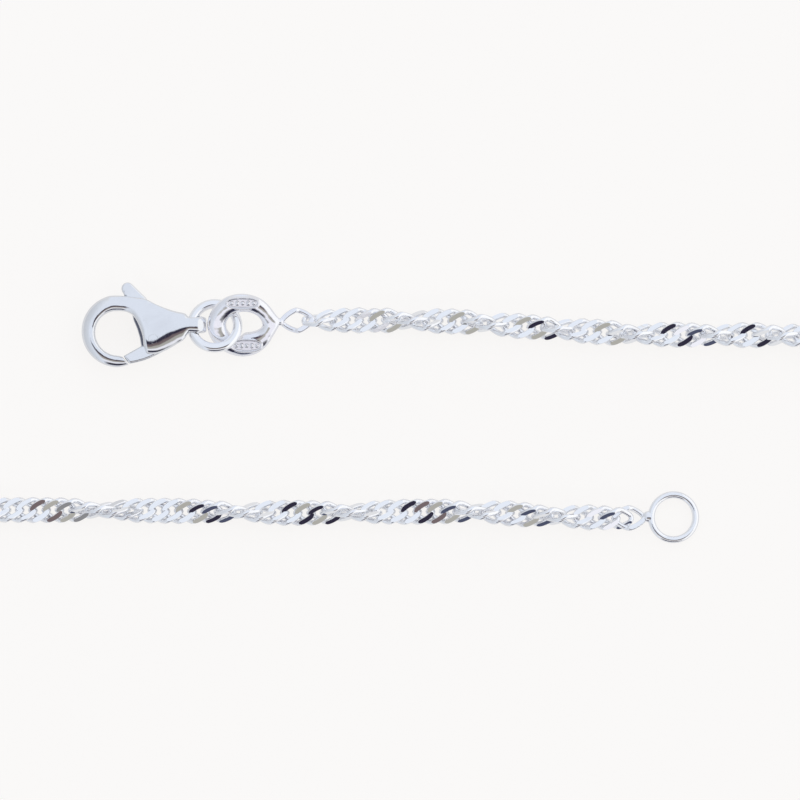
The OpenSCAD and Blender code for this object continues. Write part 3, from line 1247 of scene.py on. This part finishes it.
    def assemble(self, maker: PieceMaker) -> None:
        """Builds the clasp's three pieces.

        Args:
            maker: Finishes the pieces.
        """
        for mesh, name, body, node in (
                (self.build_body(), "clasp_body_cast", Body.NECKLACE, "clasp_body"),
                (self.build_lever(), "clasp_lever_cast", Body.LEVER, "clasp_lever"),
                (self.build_pin(), "clasp_pin_polished", Body.NECKLACE, "clasp_pin")):
            maker.finish(mesh, name, [maker.finishes.cast], body, node, sharp=50)


@dataclass
class JumpRing:
    """The round ring between the clasp's eye and the tag.

    Args:
        layout: Shared sizes and places.
    """

    layout: Layout

    def assemble(self, maker: PieceMaker) -> None:
        """Builds the ring.

        Args:
            maker: Finishes the piece.
        """
        size = self.layout
        bm = bmesh.new()
        wire_ring(bm, size.jump_d, size.jump_wire)
        moved(bm, Matrix.Translation((*size.jump_at, size.clasp_z))
              @ Matrix.Rotation(-size.ring_lean, 4, "X"))
        maker.finish(bm, "jump_ring_wire", [maker.finishes.ring], Body.NECKLACE,
                     "jump_ring")


@dataclass
class EndTag:
    """The oval tag with the chain's first link soldered to its beak.

    Args:
        layout: Shared sizes and places.
        shaper: Solid operations.
        grain: Size of the skin's faces.
        side_band: Thickness of the tag beside its hole, as a share.
        stations: Sections round the tag.
        sides: Points of a section.
        flats: Middle and half size of each flat for marks, as shares of the tag's height.
        rim: Width of the raised rim round a flat.
        flat_gap: How far a rim's top lies below the crown.
        well: Depth of a flat below the crown.
        level: Depth of the pellets' middles below the crown.
        low_fill: How much wider the rim is on the hole's side away from the jump ring.
        low_wall: Upright inner wall of the rim there.
        low_from: Cosines of the angles where that part of the rim starts and is full.
        corner: Power of the flats' outlines, below 1 for a boxier oval.
        pellets: Number of raised pellets in a row.
        pellet: Half of a pellet's length, width and height.
        long_pellet: Half of every other pellet's width.
        pellet_step: Distance between them, as a share of half of the flat's length.
        bead_r: Radius of the solder bead.
        bead_gap: Distance of its middle from the end of the link's middle line.
        link_turn: Degrees that the soldered link is turned by.
        painted_shade: Strength of the painted shade on a flat's floor.
        shade_band: Depths below and above the crown that the painted shade is looked for in.
        shade_side: Reach of the painted shade as a share of the flat, and width of its fade.
        shade_top: Depth where the painted shade starts, and width of its fade.
        outline: Rows of an angle from the chain's side and a share of half of the height.
    """

    layout: Layout
    shaper: Shaper
    grain: float = 0.03
    side_band: float = 0.84
    stations: int = 48
    sides: int = 40
    flats: tuple[Row, ...] = ((0.047, 0.386, 0.25, 0.098), (0.105, -0.305, 0.235, 0.108))
    rim: float = 0.11
    flat_gap: float = 0.01
    well: float = 0.085
    level: float = 0.08
    low_fill: float = 0.44
    low_wall: float = 0.16
    low_from: Flat = (-0.4, 0.1)
    corner: float = 0.8
    pellets: int = 5
    pellet: Row = (0.11, 0.12, 0.06)
    long_pellet: float = 0.17
    pellet_step: float = 0.36
    bead_r: float = 0.3
    bead_gap: float = 0.09
    link_turn: float = 5.0
    painted_shade: float = 0.13
    shade_band: Flat = (0.12, 0.05)
    shade_side: Flat = (1.15, 0.25)
    shade_top: Flat = (0.035, 0.04)
    outline: tuple[Flat, ...] = (
        (0, 1.2), (5, 1.26), (12, 1.18), (20, 1.12), (32, 1.09), (50, 1.07), (70, 1.03),
        (90, 1.01), (125, 0.975), (150, 0.965), (180, 0.98), (235, 0.97), (270, 1.0),
        (300, 1.04), (322, 1.05), (338, 1.06), (350, 1.11), (360, 1.2))

    def _crown(self) -> Mesh:
        """The tag's crowned form round its hole.

        Returns:
            The form's mesh.
        """
        size = self.layout
        rows: list[Row] = []
        for k in range(self.stations):
            angle = 360 * k / self.stations
            turn = math.radians(angle)
            outer = polar(lookup(self.outline, angle, 1) * size.tag_h / 2, angle)
            full = max(-math.sin(turn), 0.0) * soft_step(math.cos(turn), *self.low_from)
            inner = (size.hole_shift + size.tag_hole[0] / 2 * math.cos(turn),
                     size.tag_hole[1] / 2 * math.sin(turn) + self.low_fill * full)
            band = self.side_band + (1 - self.side_band) * abs(math.sin(turn))
            rows.append((*outer, *inner, size.tag_t / 2 * band, self.low_wall * full))
        bm = bmesh.new()
        loft(bm, [oval_section(row[0:2], row[2:4], row[4], self.sides, 2.0, row[5])
                  for row in smooth_rows(rows, 4, closed=True)], closed=True)
        return bm

    def _oval(self, at: Flat, half: Flat, low: float, high: float) -> Mesh:
        """An upright oval block.

        Args:
            at: Its middle.
            half: Half of its length and of its width.
            low: Height of its underside.
            high: Height of its top.

        Returns:
            The block's mesh.
        """
        outline = [Vector((at[0] + half[0] * signed_power(math.cos(turn), self.corner),
                           at[1] + half[1] * signed_power(math.sin(turn), self.corner)))
                   for turn in (math.tau * k / ROUND_SIDES for k in range(ROUND_SIDES))]
        bm = bmesh.new()
        prism(bm, outline, low, high)
        return bm

    def _pellets(self, at: Flat, half: Flat, level: float) -> Mesh:
        """A plain row of raised pellets for a mark's place.

        Args:
            at: Middle of the row.
            half: Half of the flat's length and width.
            level: Height of the pellets' middles.

        Returns:
            The pellets' mesh.
        """
        bm = bmesh.new()
        length, width, height = self.pellet
        for k in range(self.pellets):
            x = at[0] + (k - self.pellets // 2) * half[0] * self.pellet_step
            form = Matrix.Diagonal((length, self.long_pellet if k % 2 else width, height, 1.0))
            join(bm, ball(1.0, Matrix.Translation((x, at[1], level)) @ form, sides=16, rings=10))
        return bm

    def build(self) -> Mesh:
        """The tag, its two framed flats, the solder and the first link.

        Returns:
            The piece's mesh.
        """
        size = self.layout
        top = size.tag_t / 2
        body = self._crown()
        marks = bmesh.new()
        wells: list[tuple[Flat, Flat]] = []
        for row in self.flats:
            at, half = ((size.tag_h * a, size.tag_h * b) for a, b in (row[0:2], row[2:4]))
            inside = (half[0] - self.rim, half[1] - self.rim)
            block = self._oval(at, half, 0.0, top - self.flat_gap)
            body = self.shaper.combine(body, Cut.BOTH, block)
            body = self.shaper.combine(body, Cut.AWAY,
                                       self._oval(at, inside, top - self.well, 1.0))
            join(marks, self._pellets(at, inside, top - self.level))
            wells.append((at, inside))
        body = join(body, marks)
        place = (Matrix.Translation((*size.tag_at, size.clasp_z))
                 @ Matrix.Rotation(size.tag_lean, 4, "X"))
        moved(body, place)
        bead_x = -size.soldered.half_length - self.bead_gap
        link = join(size.soldered.build(),
                    ball(self.bead_r, Matrix.Translation((bead_x, 0, 0))))
        moved(link, Matrix.Translation((*size.first_link, size.clasp_z))
              @ Matrix.Rotation(math.radians(self.link_turn), 4, "Z"))
        whole = self.shaper.fuse(join(body, link), self.grain, 3)
        back = place.inverted()

        def depth(co: Vector) -> float:
            """How much painted shade a place on the floor of one of the two flats gets.

            Args:
                co: The place.

            Returns:
                The painted shade's strength, from 0 to 1.
            """
            local = back @ co
            if not top - self.shade_band[0] < local.z < top + self.shade_band[1]:
                return 0.0
            near = min(((local.x - at[0]) / inside[0]) ** 4 + ((local.y - at[1]) / inside[1]) ** 2
                       for at, inside in wells)
            (reach, side_fade), (start, top_fade) = self.shade_side, self.shade_top
            return (self.painted_shade * soft_step(reach - near, 0.0, side_fade)
                    * soft_step(top - start - local.z, 0.0, top_fade))

        # Paints shade on the floors of the flats.
        return painted_shade(whole, depth)

    def assemble(self, maker: PieceMaker) -> None:
        """Builds the tag's piece."""
        maker.finish(self.build(), "end_tag_stamped", [maker.finishes.tag],
                     Body.NECKLACE, "end_tag", sharp=60)


@dataclass
class EndRing:
    """The plain end ring with the chain's last link soldered to it.

    Args:
        layout: Shared sizes and places.
        shaper: Solid operations.
        grain: Size of the skin's faces.
        bead: Half of the solder bead's length, width and height.
        bead_rise: How far the bead lies above the joint in the picture.
    """

    layout: Layout
    shaper: Shaper
    grain: float = 0.028
    bead: Row = (0.46, 0.44, 0.3)
    bead_rise: float = 0.04

    def assemble(self, maker: PieceMaker) -> None:
        """Builds the ring, the joint and the link as one piece.

        Args:
            maker: Finishes the piece.
        """
        size = self.layout
        ring = bmesh.new()
        wire_ring(ring, size.end_d, size.end_wire)
        moved(ring, Matrix.Translation((*size.end_at, size.end_z))
              @ Matrix.Rotation(math.radians(size.end_tilt), 4, "Y"))
        lean = math.asin((size.chain_z - size.end_left_z) / (2 * size.soldered.half_length))
        link = moved(size.soldered.build(), Matrix.Translation(
            (*size.last_link, (size.chain_z + size.end_left_z) / 2))
            @ Matrix.Rotation(lean, 4, "Y"))
        joint = (size.joint_at.x, size.joint_at.y + self.bead_rise, size.end_left_z)
        bead = ball(1.0, Matrix.Translation(joint) @ Matrix.Diagonal((*self.bead, 1.0)))
        whole = self.shaper.fuse(join(ring, link, bead), self.grain, 3)
        maker.finish(whole, "end_ring_wire", [maker.finishes.ring], Body.NECKLACE,
                     "end_ring", sharp=60)


@dataclass
class TwistedChain:
    """The chain: interlocking links along its route, each rolled a little further.

    Args:
        layout: Shared sizes and places.
        pitch: Distance from one link to the next.
        lead: Extra distance from the soldered link to the first one that hangs in it.
        settle: Length over which the chain comes down from the tag's height.
        rest_half_turn: Length of a half turn where the photograph shows no chain.
        slow: How much slower the twist is on a wide stretch than on average.
        top_necks: Places along X where the upper strand is seen edge-on.
        low_necks: The same for the lower strand.
        strands_above: Place along Y that both strands lie above, and the run back below.
        strand_parts: Steps between two points of a strand's route.
        back_parts: Steps of the straight run back.
        jitter: Largest chance roll, tilt and swing of a link, in degrees.
        leans: Degrees that the flats of the kinds of link lean by, with no lean in the middle.
        seed: Start of the chance numbers.
        tones: Links whose flats catch one part of the room, by their number from the clasp,
            or from the end ring where it is negative.
        fine: Form of the links that the photograph shows.
        plain: Form of the others.
    """

    layout: Layout
    pitch: float = 1.02
    lead: float = 0.7
    settle: float = 5.0
    rest_half_turn: float = 8.2
    slow: float = 0.45
    top_necks: Row = (-6.62, 0.77, 6.69, 12.15, 18.15, 24.0, 29.08, 35.0, 41.0, 47.0)
    low_necks: Row = (-54.0, -44.0, -33.5, -23.15, -12.3, -3.77, 5.85, 12.3, 18.77)
    strands_above: float = 15.0
    strand_parts: int = 24
    back_parts: int = 200
    jitter: Row = (3.0, 3.0, 2.0)
    leans: Row = (-2.5, 0.0, 2.5)
    seed: int = 7
    tones: tuple[tuple[int, Tone], ...] = (
        (4, Tone.BLUE), (5, Tone.MIST), (6, Tone.BEIGE), (11, Tone.BLUE), (12, Tone.BEIGE),
        (16, Tone.BLUE), (17, Tone.BEIGE), (18, Tone.BLACK), (22, Tone.BLUE), (23, Tone.BEIGE),
        (28, Tone.NIGHT), (29, Tone.PALE), (34, Tone.NIGHT), (-44, Tone.MAROON),
        (-43, Tone.BEIGE), (-42, Tone.STONE), (-34, Tone.BLUE), (-33, Tone.BEIGE),
        (-32, Tone.BLACK), (-31, Tone.SLATE), (-25, Tone.NIGHT), (-24, Tone.BEIGE),
        (-23, Tone.BLACK), (-17, Tone.BLUE), (-16, Tone.NIGHT), (-15, Tone.MAROON),
        (-14, Tone.BEIGE), (-13, Tone.SLATE), (-8, Tone.BEIGE), (-7, Tone.SLATE),
        (-2, Tone.PALE), (-1, Tone.SLATE))
    fine: Link = Link()
    plain: Link = Link(stations=20, sides=8)

    def __post_init__(self) -> None:
        """Lays the route and finds its lengths."""
        size = self.layout
        right = Vector(size.top_strand[-1]) - Vector((0, size.bend_r))
        back_y = right.y - size.bend_r
        left_r = (size.low_strand[0][1] - back_y) / 2
        left = Vector(size.low_strand[0]) - Vector((0, left_r))
        width = right.x - left.x
        line = self._strand((tuple(size.first_link), *size.top_strand))
        line += arc(right, size.bend_r, 89, -89, 179)
        line += [Vector((right.x - width * k / self.back_parts, back_y))
                 for k in range(self.back_parts)]
        line += arc(left, left_r, -90, -269, 180)
        line += self._strand((*size.low_strand, tuple(size.last_link)))
        self.line = line
        self.walked = [0.0]
        for near, far in zip(line, line[1:]):
            self.walked.append(self.walked[-1] + (far - near).length)
        free = self.walked[-1] - self.lead
        self.count = round(free / self.pitch)
        self.step = free / self.count
        self.rolls = self._roll_table()

    def _strand(self, points: tuple[Flat, ...]) -> list[Vector]:
        """A smooth line through a strand's points."""
        return [Vector(row) for row in smooth_rows(list(points), self.strand_parts)]

    def _at_x(self, x: float, upper: bool) -> float:
        """Finds where a strand passes a place along X.

        Args:
            x: The place.
            upper: True for the strand at the clasp, which is the first part of the route.

        Returns:
            Length along the route.
        """
        half = self.walked[-1] / 2
        picks = [(abs(point.x - x), s) for point, s in zip(self.line, self.walked)
                 if (s < half) == upper and point.y > self.strands_above]
        return min(picks)[1]

    def _roll_table(self) -> list[float]:
        """Finds where the chain is seen edge-on, half a turn apart.

        Returns:
            Lengths along the route.
        """
        necks = [self._at_x(x, True) for x in self.top_necks]
        low = [self._at_x(x, False) for x in self.low_necks]
        gap = low[0] - necks[-1]
        parts = round(gap / self.rest_half_turn)
        necks += [necks[-1] + gap * k / parts for k in range(1, parts)]
        return necks + low

    def _span(self, table: list[float], s: float) -> int:
        """Number of the stretch of a rising table that a length falls in."""
        return min(max(bisect.bisect_right(table, s) - 1, 0), len(table) - 2)

    def roll(self, s: float) -> float:
        """Roll of the chain in degrees at a length along its route.

        Args:
            s: Length along the route.

        Returns:
            The roll, which grows by 180 from one narrow place to the next.
        """
        table = self.rolls
        i = self._span(table, s)
        t = (s - table[i]) / (table[i + 1] - table[i])
        return 180 * (i + t - 0.5 + self.slow * math.sin(math.tau * t) / math.tau)

    def place(self, s: float, nudge: Row) -> Matrix:
        """Where a link lies.

        Args:
            s: Length along the route.
            nudge: Extra roll, tilt and swing in degrees.

        Returns:
            The link's matrix, in millimetres.
        """
        line, size = self.line, self.layout
        i = self._span(self.walked, s)
        share = (s - self.walked[i]) / (self.walked[i + 1] - self.walked[i])
        point = line[i].lerp(line[i + 1], share)
        along = (line[min(i + 2, len(line) - 1)] - line[max(i - 1, 0)]).normalized()
        high = max(0.0, 1 - s / self.settle)
        height = size.chain_z + (size.clasp_z - size.chain_z) * high
        frame_of = Matrix(((along.x, -along.y, 0, point.x), (along.y, along.x, 0, point.y),
                           (0, 0, 1, height), (0, 0, 0, 1)))
        roll, tilt, swing = (math.radians(angle) for angle in nudge)
        turn = math.radians(self.roll(s)) + roll
        return (frame_of @ Matrix.Rotation(turn, 4, "X") @ Matrix.Rotation(tilt, 4, "Y")
                @ Matrix.Rotation(swing, 4, "Z"))

    def run(self, first: int, last: int, link: Link, chance: random.Random) -> Mesh:
        """Joins a stretch of links.

        Args:
            first: Number of the stretch's first link.
            last: Number after its last link.
            link: Form of its links.
            chance: Source of the small differences between links.

        Returns:
            The links' mesh.
        """
        kinds = [baked("link", link.build(lean)) for lean in self.leans]
        tones = {number % self.count: tone for number, tone in self.tones}
        bm = bmesh.new()
        for number in range(first, last):
            s = self.lead + number * self.step
            nudge = tuple(chance.uniform(-limit, limit) for limit in self.jitter)
            kind = kinds[chance.randrange(len(kinds))]
            if number in tones:
                nudge = (tones[number].value - (self.roll(s) + 90) % 180 + 90, 0.0, 0.0)
                kind = kinds[len(kinds) // 2]
            before = len(bm.verts)
            bm.from_mesh(kind)
            bm.verts.ensure_lookup_table()
            bmesh.ops.transform(bm, matrix=self.place(s, nudge), verts=bm.verts[before:])
        for kind in kinds:
            bpy.data.meshes.remove(kind)
        return bm

    def assemble(self, maker: PieceMaker) -> None:
        """Builds the chain's three runs.

        Args:
            maker: Finishes the pieces.
        """
        chance = random.Random(self.seed)
        top_end = round(self._at_x(self.top_necks[-1], True) / self.step)
        low_start = round(self._at_x(self.low_necks[0], False) / self.step)
        both = [maker.finishes.wire, maker.finishes.facet]
        for name, first, last, link in (
                ("chain_clasp_run", 1, top_end, self.fine),
                ("chain_back_run", top_end, low_start, self.plain),
                ("chain_ring_run", low_start, self.count, self.fine)):
            maker.finish(self.run(first, last, link, chance), name, both,
                         Body.NECKLACE, "chain", sharp=30)
        LOG.info("chain: %d links along %.1f mm", self.count - 1, self.walked[-1])


@dataclass
class Studio:
    """Floor, soft light and camera.

    Args:
        aim: Point in the middle of the picture, in millimetres.
        distance: Height of the camera in metres.
        level: Height in metres at which the picture has the photograph's scale.
        sensor: Width of the camera's sensor in millimetres.
        floor_size: Half of the floor's width in metres.
        seen_glow: Light of the floor as the camera sees it.
        mirrored_glow: Light of the floor as the metal mirrors it.
        floor_colour: Colour of the floor for shadows.
    """

    aim: Flat = (0.0, 28.48)
    distance: float = 1.0
    level: float = 0.0012
    sensor: float = 36.0
    floor_size: float = 12.0
    seen_glow: Row = (0.821, 0.805, 0.789)
    mirrored_glow: Row = (0.63, 0.63, 0.64)
    floor_colour: Row = (0.19, 0.19, 0.188)

    def floor(self) -> None:
        """Lays the pale floor, which polished metal mirrors a little darker than it looks."""
        bm = bmesh.new()
        bmesh.ops.create_grid(bm, x_segments=1, y_segments=1, size=self.floor_size)
        mesh = baked("floor", bm)
        pale = bpy.data.materials.new("pale_floor")
        pale.use_nodes = True
        wires = Wiring(pale.node_tree)
        seen = wires.add("LightPath", {}).outputs["Is Camera Ray"]
        wires.feed(pale.node_tree.nodes["Principled BSDF"], {
            "Base Color": (*self.floor_colour, 1.0),
            "Roughness": 1.0,
            "Specular IOR Level": 0.0,
            "Emission Strength": 1.0,
            "Emission Color": wires.mix(seen, (*self.mirrored_glow, 1.0),
                                        (*self.seen_glow, 1.0))})
        mesh.materials.append(pale)
        shown("floor", mesh)

    def sky(self) -> None:
        """Makes the soft light all round, as a pale room gives it.

        It is bright above and towards both sides. Towards the picture's lower edge lie bands of
        near black, maroon, beige, pale and slate, which single flats of the links mirror.
        """
        world = bpy.data.worlds.new("soft_studio")
        bpy.context.scene.world = world
        world.use_nodes = True
        wires = Wiring(world.node_tree)
        place = wires.add("TexCoord", {}).outputs["Generated"]

        def measure(direction: Row) -> Socket:
            """How far the direction of light points along a given direction."""
            node = wires.add("VectorMath", {0: place, 1: direction})
            node.operation = "DOT_PRODUCT"
            return node.outputs["Value"]

        clear, full = (0, 0, 0), (1, 1, 1)
        blue, pale = (0.80, 0.85, 0.945), (0.89, 0.89, 0.955)
        white, warm = (1.02, 1.03, 1.05), (0.70, 0.69, 0.64)
        night, slate = (0.03, 0.027, 0.05), (0.075, 0.085, 0.14)
        maroon, beige = (0.18, 0.14, 0.145), (0.43, 0.42, 0.385)
        stone = (0.26, 0.26, 0.27)
        along = measure((0.0, -1.0, 0.0))
        across = measure((1.0, 0.0, 0.0))
        upper = wires.ramp(along, -1.0, 1.0, (
            (-1.0, warm), (-0.9, warm), (-0.65, (0.88, 0.92, 0.98)), (-0.3, (0.83, 0.88, 0.95)),
            (0.0, blue), (1.0, blue)))
        sides = wires.ramp(across, -1.0, 1.0, (
            (-1.0, (0.62, 0.64, 0.68)), (-0.6, (0.66, 0.70, 0.76)), (-0.2, blue), (0.2, blue),
            (0.45, white), (1.0, white)))
        sideways = wires.ramp(across, -1.0, 1.0, (
            (-1.0, full), (-0.5, (0.8, 0.8, 0.8)), (-0.15, clear), (0.15, clear), (0.45, full),
            (1.0, full)))
        bands = wires.ramp(along, 0.0, 1.0, (
            (0.0, blue), (0.13, blue), (0.17, night), (0.27, night), (0.33, maroon),
            (0.42, maroon), (0.47, beige), (0.60, beige), (0.66, pale), (0.80, pale),
            (0.835, stone), (0.86, stone), (0.89, night), (0.955, night), (0.985, slate),
            (1.0, slate)))
        inside = wires.ramp(across, -1.0, 1.0, (
            (-1.0, clear), (-0.4, clear), (-0.25, full), (0.45, full), (0.6, clear)))
        wires.feed(world.node_tree.nodes["Background"], {
            "Color": wires.mix(inside, wires.mix(sideways, upper, sides), bands),
            "Strength": 1.0})

    def camera(self) -> None:
        """Sets the camera straight above the middle of the picture."""
        data = bpy.data.cameras.new("camera")
        half_view = PHOTO_PIXELS / PIXELS_PER_MM * METRES / 2
        data.sensor_width = self.sensor
        data.lens = data.sensor_width / 2 * (self.distance - self.level) / half_view
        data.clip_start = 0.01
        data.clip_end = 100.0
        camera = shown("camera", data)
        camera.location = (self.aim[0] * METRES, self.aim[1] * METRES, self.distance)
        bpy.context.scene.camera = camera

    def assemble(self) -> None:
        """Builds the studio."""
        self.floor()
        self.sky()
        self.camera()
        bpy.context.scene.view_settings.view_transform = "Standard"


def main() -> None:
    """Builds the scene's classes in order."""
    logging.basicConfig(level=logging.INFO, format="%(name)s: %(message)s")
    layout = Layout()
    shaper = Shaper()
    maker = PieceMaker(Finishes())
    LobsterClasp(layout, shaper).assemble(maker)
    JumpRing(layout).assemble(maker)
    EndTag(layout, shaper).assemble(maker)
    EndRing(layout, shaper).assemble(maker)
    TwistedChain(layout).assemble(maker)
    Studio().assemble()


if __name__ == "__main__":
    main()
